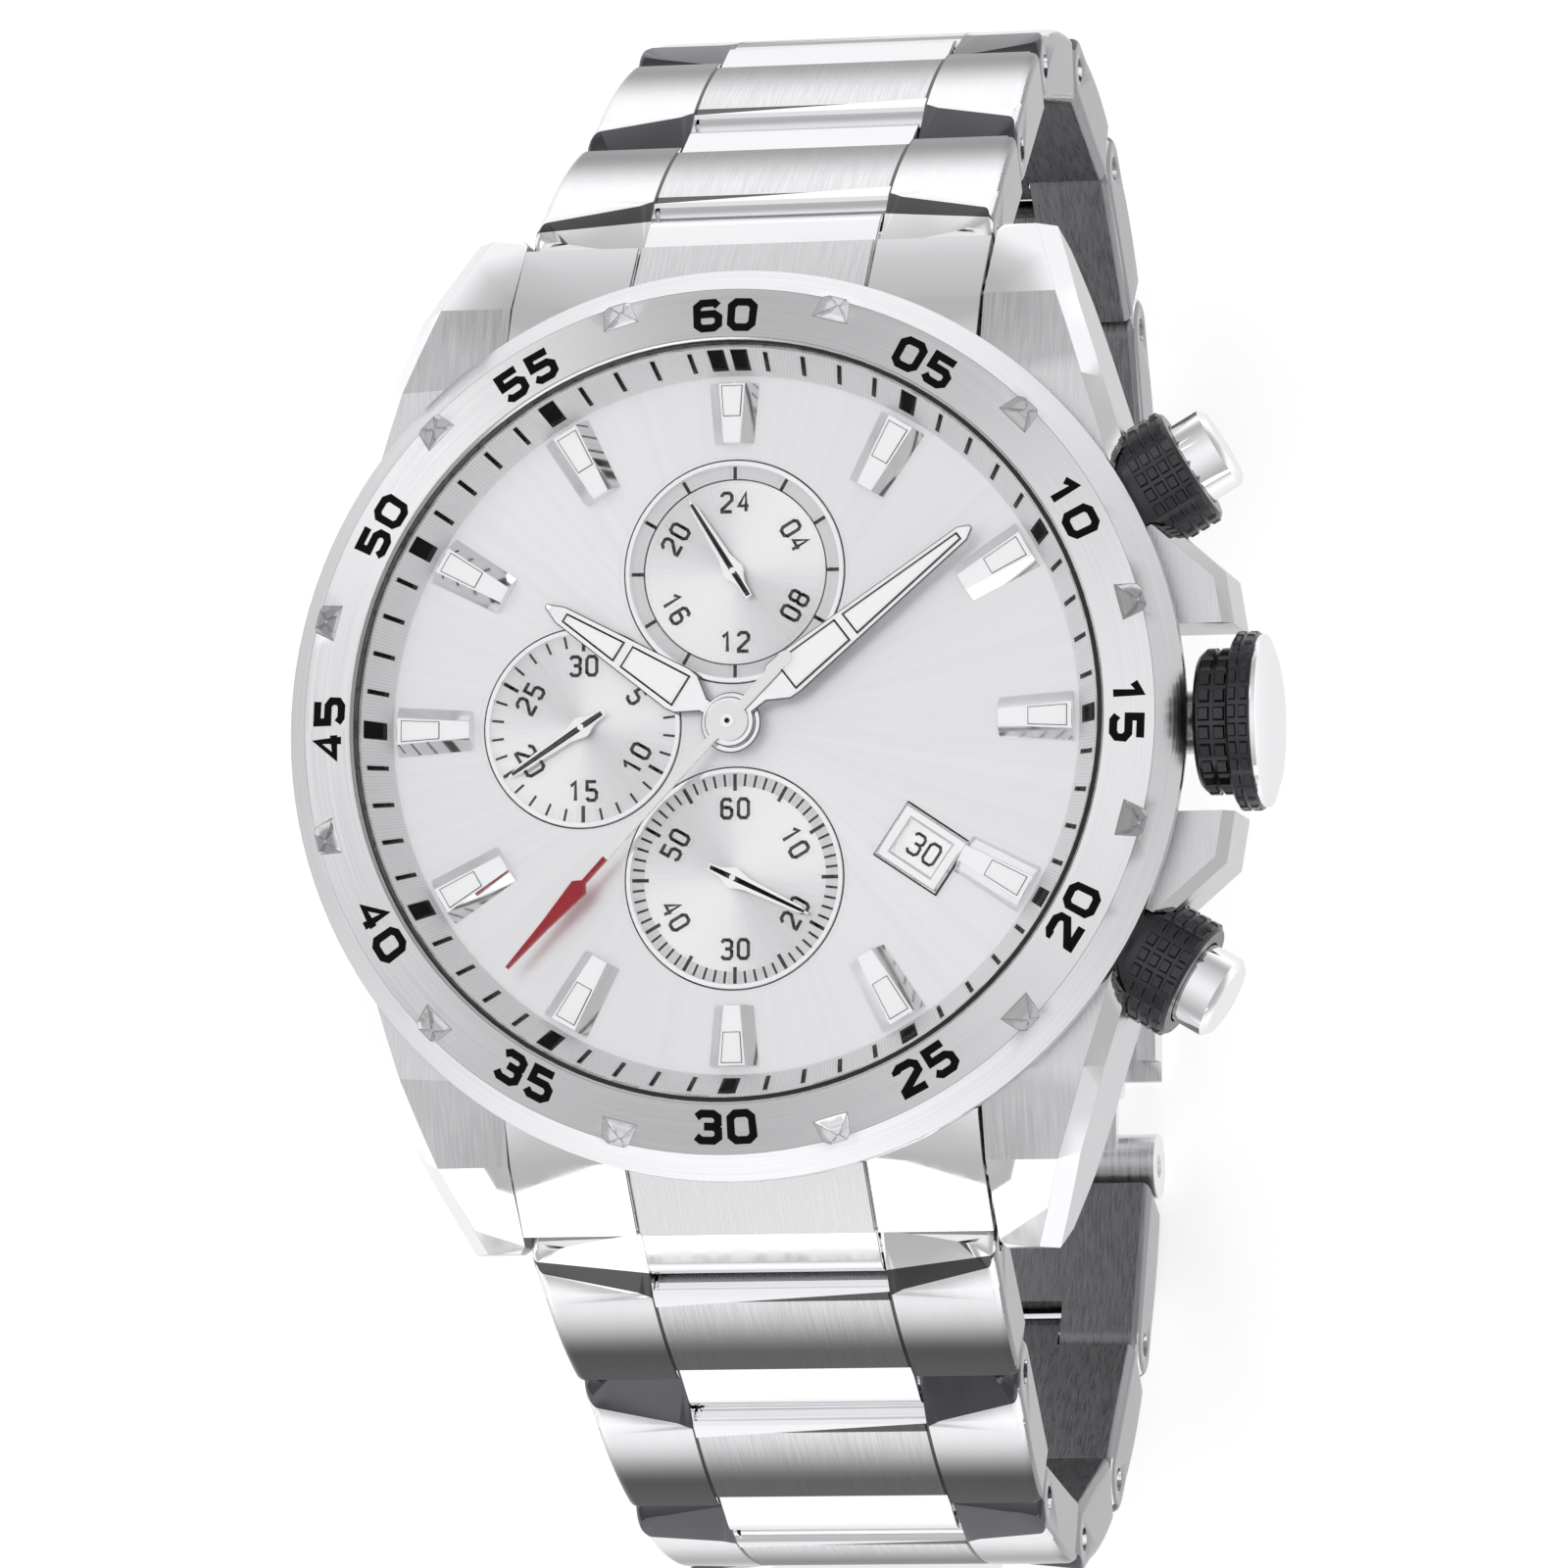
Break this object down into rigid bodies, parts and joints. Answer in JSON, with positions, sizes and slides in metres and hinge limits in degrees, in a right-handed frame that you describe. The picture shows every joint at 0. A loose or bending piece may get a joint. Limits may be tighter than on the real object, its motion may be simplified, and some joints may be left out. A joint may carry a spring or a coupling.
{
  "type": "chronograph wristwatch",
  "caption": "Round steel chronograph wristwatch with three subdials, date window, crown, push buttons and a link bracelet closed by a folding clasp.",
  "frame": {"origin": "centre of the case back's outer face", "axes": "+Z through the dial towards the crystal, +Y towards 12 o'clock, +X towards the crown"},
  "size_m": [0.0472, 0.0776, 0.0619],
  "materials": {
    "case_steel": "satin brushed with polished bevels",
    "polished_steel": "mirror polished",
    "bracelet_steel": "brushed centre, polished outer pieces",
    "black_coating": "black plated, knurled",
    "dial_silver": "silver sunray lacquer",
    "track_grey": "satin silver grey",
    "clear_glass": "polished mineral glass",
    "black_rubber": "matt",
    "holder_plastic": "moulded",
    "movement_brass": "machined",
    "inner_steel": "machined",
    "board_green": "lacquered board",
    "coil_copper": "copper windings",
    "date_white": "printed matt white",
    "dart_red": "thin steel, dark red dart"
  },
  "bodies": {
    "case": {"case_middle": "case_steel", "case_back": "case_steel", "case_back_gasket": "black_rubber", "bezel": "case_steel", "crystal": "clear_glass", "crystal_gasket": "black_rubber", "minute_track_ring": "track_grey", "dial": "dial_silver", "hour_indices": "polished_steel", "subdial_rings": "polished_steel", "date_frame": "polished_steel", "movement_holder": "holder_plastic", "mainplate": "movement_brass", "circuit_board": "board_green", "train_bridge": "movement_brass", "bridge_screws": "inner_steel", "battery": "inner_steel", "stepper_coils": "coil_copper", "crown_tube": "inner_steel", "pusher_collars": "black_coating", "end_link_upper": "bracelet_steel", "end_link_lower": "bracelet_steel", "spring_bars": "case_steel"},
    "date_disc": {"date_ring": "date_white"},
    "hour": {"hour_hand": "polished_steel", "hour_wheel": "movement_brass"},
    "minute": {"minute_hand": "polished_steel", "minute_wheel": "movement_brass"},
    "chrono": {"chrono_seconds_hand": "dart_red", "chrono_wheel": "movement_brass"},
    "day": {"day_hand": "polished_steel"},
    "minute_counter": {"minute_counter_hand": "polished_steel"},
    "small_seconds": {"small_seconds_hand": "polished_steel"},
    "crown_seal": {"crown_gasket": "black_rubber"},
    "crown": {"crown_grip": "black_coating", "crown_cap": "polished_steel", "setting_stem": "inner_steel"},
    "start": {"start_button": "polished_steel", "start_button_spring": "inner_steel"},
    "reset": {"reset_button": "polished_steel", "reset_button_spring": "inner_steel"},
    "clasp_cover": {"clasp_cover": "bracelet_steel"},
    "clasp_middle": {"clasp_middle_blade": "bracelet_steel"},
    "clasp_end": {"clasp_end_blade": "bracelet_steel"},
    "upper_1": {"upper_link_1": "bracelet_steel"},
    "lower_1": {"lower_link_1": "bracelet_steel"},
    "upper_2": {"upper_link_2": "bracelet_steel"},
    "lower_2": {"lower_link_2": "bracelet_steel"},
    "upper_3": {"upper_link_3": "bracelet_steel"},
    "lower_3": {"lower_link_3": "bracelet_steel"},
    "upper_4": {"upper_link_4": "bracelet_steel"},
    "lower_4": {"lower_link_4": "bracelet_steel"},
    "upper_5": {"upper_link_5": "bracelet_steel"},
    "lower_5": {"lower_link_5": "bracelet_steel"},
    "upper_6": {"upper_link_6": "bracelet_steel"},
    "lower_6": {"lower_link_6": "bracelet_steel"}
  },
  "joints": [
    {"name": "minute_turn", "type": "hinge", "parent": "case", "child": "minute", "pos_m": [0, 0, 0.0095], "axis": [0, 0, -1], "continuous": true},
    {"name": "hour_turn", "type": "hinge", "parent": "case", "child": "hour", "pos_m": [0, 0, 0.0091], "axis": [0, 0, -1], "continuous": true},
    {"name": "day_turn", "type": "hinge", "parent": "case", "child": "day", "pos_m": [0, 0.0073, 0.0087], "axis": [0, 0, -1], "continuous": true},
    {"name": "date_turn", "type": "hinge", "parent": "case", "child": "date_disc", "pos_m": [0, 0, 0.0075], "axis": [0, 0, -1], "continuous": true},
    {"name": "small_seconds_turn", "type": "hinge", "parent": "case", "child": "small_seconds", "pos_m": [0, -0.00735, 0.0087], "axis": [0, 0, -1], "continuous": true},
    {"name": "chrono_turn", "type": "hinge", "parent": "case", "child": "chrono", "pos_m": [0, 0, 0.0098], "axis": [0, 0, -1], "continuous": true},
    {"name": "minute_counter_turn", "type": "hinge", "parent": "case", "child": "minute_counter", "pos_m": [-0.0074, 0, 0.0087], "axis": [0, 0, -1], "continuous": true},
    {"name": "crown_pull", "type": "slide", "parent": "case", "child": "crown_seal", "axis": [1, 0, 0], "range_m": [0, 0.0016]},
    {"name": "crown_turn", "type": "hinge", "parent": "crown_seal", "child": "crown", "pos_m": [0.025, 0, 0.0045], "axis": [1, 0, 0], "continuous": true},
    {"name": "start_push", "type": "slide", "parent": "case", "child": "start", "axis": [-0.866, -0.5, 0], "range_m": [0, 0.0009], "stiffness_N_per_m": 2000, "springref_m": -0.0006, "deforming": ["start_button_spring"]},
    {"name": "reset_push", "type": "slide", "parent": "case", "child": "reset", "axis": [-0.866, 0.5, 0], "range_m": [0, 0.0009], "stiffness_N_per_m": 2000, "springref_m": -0.0006, "deforming": ["reset_button_spring"]},
    {"name": "upper_link_1_hinge", "type": "hinge", "parent": "case", "child": "upper_1", "pos_m": [0, 0.0241, 0.0008], "axis": [1, 0, 0], "range_deg": [0, 30]},
    {"name": "upper_link_2_hinge", "type": "hinge", "parent": "upper_1", "child": "upper_2", "pos_m": [0, 0.02997, -0.0079], "axis": [1, 0, 0], "range_deg": [0, 30]},
    {"name": "upper_link_3_hinge", "type": "hinge", "parent": "upper_2", "child": "upper_3", "pos_m": [0, 0.03569, -0.01671], "axis": [1, 0, 0], "range_deg": [0, 30]},
    {"name": "upper_link_4_hinge", "type": "hinge", "parent": "upper_3", "child": "upper_4", "pos_m": [0, 0.03733, -0.02708], "axis": [1, 0, 0], "range_deg": [0, 30]},
    {"name": "upper_link_5_hinge", "type": "hinge", "parent": "upper_4", "child": "upper_5", "pos_m": [0, 0.03391, -0.03701], "axis": [1, 0, 0], "range_deg": [0, 30]},
    {"name": "upper_link_6_hinge", "type": "hinge", "parent": "upper_5", "child": "upper_6", "pos_m": [0, 0.02662, -0.04456], "axis": [1, 0, 0], "range_deg": [0, 30]},
    {"name": "lower_link_1_hinge", "type": "hinge", "parent": "case", "child": "lower_1", "pos_m": [0, -0.0241, 0.0008], "axis": [-1, 0, 0], "range_deg": [0, 30]},
    {"name": "lower_link_2_hinge", "type": "hinge", "parent": "lower_1", "child": "lower_2", "pos_m": [0, -0.02997, -0.0079], "axis": [-1, 0, 0], "range_deg": [0, 30]},
    {"name": "lower_link_3_hinge", "type": "hinge", "parent": "lower_2", "child": "lower_3", "pos_m": [0, -0.03569, -0.01671], "axis": [-1, 0, 0], "range_deg": [0, 30]},
    {"name": "lower_link_4_hinge", "type": "hinge", "parent": "lower_3", "child": "lower_4", "pos_m": [0, -0.03733, -0.02708], "axis": [-1, 0, 0], "range_deg": [0, 30]},
    {"name": "lower_link_5_hinge", "type": "hinge", "parent": "lower_4", "child": "lower_5", "pos_m": [0, -0.03391, -0.03701], "axis": [-1, 0, 0], "range_deg": [0, 30]},
    {"name": "lower_link_6_hinge", "type": "hinge", "parent": "lower_5", "child": "lower_6", "pos_m": [0, -0.02662, -0.04456], "axis": [-1, 0, 0], "range_deg": [0, 30]},
    {"name": "clasp_end_hinge", "type": "hinge", "parent": "lower_6", "child": "clasp_end", "pos_m": [0, -0.01703, -0.04883], "axis": [-1, 0, 0], "range_deg": [0, 25]},
    {"name": "clasp_blade_fold", "type": "hinge", "parent": "clasp_end", "child": "clasp_middle", "pos_m": [0, 0.013, -0.04848], "axis": [1, 0, 0], "range_deg": [0, 70]},
    {"name": "clasp_cover_fold", "type": "hinge", "parent": "clasp_middle", "child": "clasp_cover", "pos_m": [0, -0.0125, -0.04918], "axis": [-1, 0, 0], "range_deg": [0, 100]}
  ],
  "couplings": [
    {"joint": "hour_turn", "follows": "minute_turn", "ratio": 0.083333},
    {"joint": "day_turn", "follows": "minute_turn", "ratio": 0.041667},
    {"joint": "date_turn", "follows": "minute_turn", "ratio": 0.0013441},
    {"joint": "minute_counter_turn", "follows": "chrono_turn", "ratio": 0.033333},
    {"joint": "clasp_blade_fold", "follows": "clasp_cover_fold", "ratio": 0.7}
  ]
}
